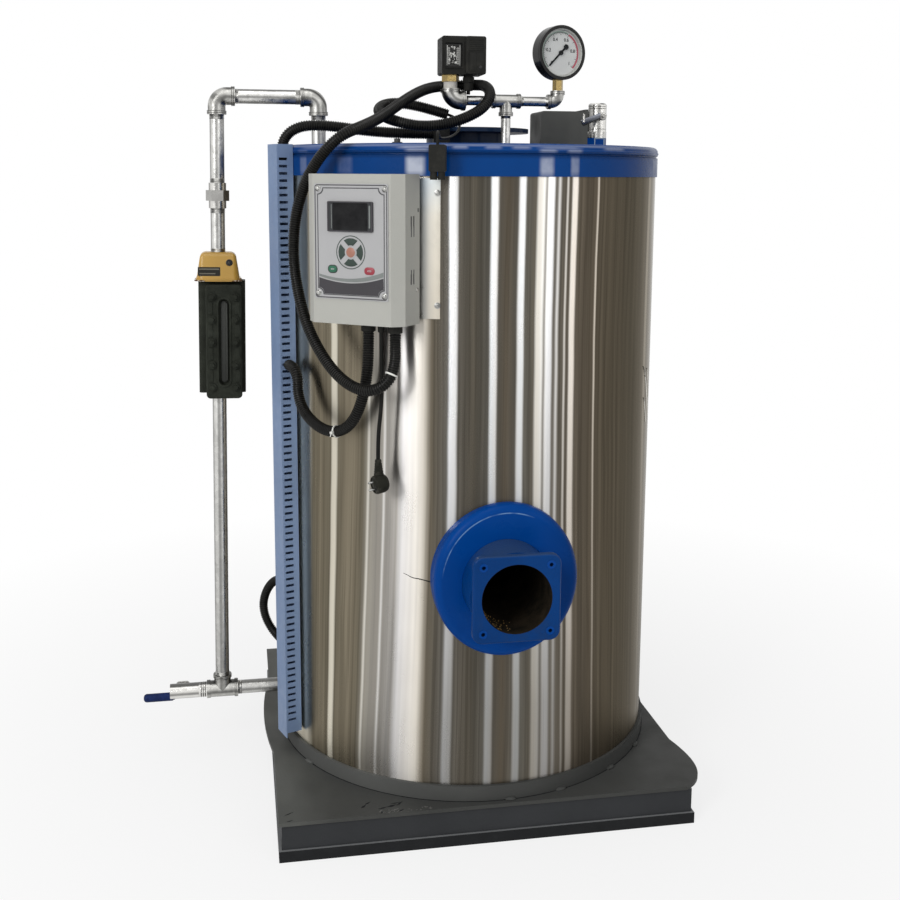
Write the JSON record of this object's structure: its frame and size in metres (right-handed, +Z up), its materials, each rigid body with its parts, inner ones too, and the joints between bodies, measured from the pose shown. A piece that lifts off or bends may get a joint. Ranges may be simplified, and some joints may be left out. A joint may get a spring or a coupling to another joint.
{
  "type": "steam boiler",
  "caption": "Vertical cylindrical steam boiler in a polished jacket on a square base, with a blue lid, burner mouth, level column, gauge, pressure switch and controller.",
  "frame": {"origin": "on the boiler's vertical axis, at the floor under its base", "axes": "+Z up along the boiler's axis, -Y out of the burner opening, -X towards the level column"},
  "size_m": [1.0556, 0.867, 1.466],
  "materials": {
    "base_paint": "satin",
    "stainless": "polished",
    "ring_grey": "matte",
    "blue_paint": "gloss",
    "furnace_steel": "matte",
    "galvanized": "satin",
    "black_casting": "satin",
    "yellow_paint": "satin",
    "chrome": "polished",
    "brass": "satin",
    "navy_grip": "satin",
    "black_case": "matte",
    "white_bush": "matte",
    "dial_white": "matte",
    "pointer_black": "matte",
    "clear_glass": "gloss",
    "cover_grey": "satin",
    "controller_grey": "satin",
    "panel_grey": "satin",
    "screen_dark": "gloss",
    "key_green": "satin",
    "trunking_blue": "matte",
    "conduit_black": "satin",
    "cord_black": "satin"
  },
  "bodies": {
    "boiler": {"base_frame": "base_paint", "base_plate": "base_paint", "base_ring": "ring_grey", "jacket": "stainless", "top_lid": "blue_paint", "furnace_drum": "furnace_steel", "flue_collar": "blue_paint", "burner_rosette": "blue_paint", "burner_mouth": "blue_paint", "float_housing": "black_casting", "float_cover": "black_casting", "float_cap": "yellow_paint", "column_union": "galvanized", "column_fittings": "galvanized", "column_pipes": "galvanized", "drain_valve": "chrome", "manifold_fittings": "galvanized", "manifold_pipes": "galvanized", "switch_bush": "white_bush", "switch_nut": "brass", "pressure_switch": "black_case", "gauge_adapter": "brass", "gauge_case": "black_case", "gauge_dial": "dial_white", "gauge_pointer": "pointer_black", "gauge_glass": "clear_glass", "steam_socket": "blue_paint", "steam_valve": "chrome", "lid_cover": "cover_grey", "controller_bracket": "galvanized", "controller_box": "controller_grey", "controller_panel": "panel_grey", "controller_screen": "screen_dark", "controller_keys": "key_green", "trunking_channel": "trunking_blue", "trunking_cover": "trunking_blue", "cable_glands": "black_case", "long_conduit": "conduit_black", "deck_conduit": "conduit_black", "duct_conduit": "conduit_black", "slack_loop": "conduit_black", "power_lead": "cord_black", "power_plug": "cord_black", "sensor_lead": "cord_black", "connector": "black_case"},
    "drain_handle": {"drain_lever": "navy_grip"},
    "steam_handle": {"steam_lever": "chrome"}
  },
  "joints": [
    {"name": "drain_lever_turn", "type": "hinge", "parent": "boiler", "child": "drain_handle", "pos_m": [-0.5706, 0.0273, 0.158], "axis": [0, 1, 0], "range_deg": [0, 90]},
    {"name": "steam_lever_turn", "type": "hinge", "parent": "boiler", "child": "steam_handle", "pos_m": [0.249, -0.0898, 1.307], "axis": [0, 1, 0], "range_deg": [0, 90]}
  ]
}
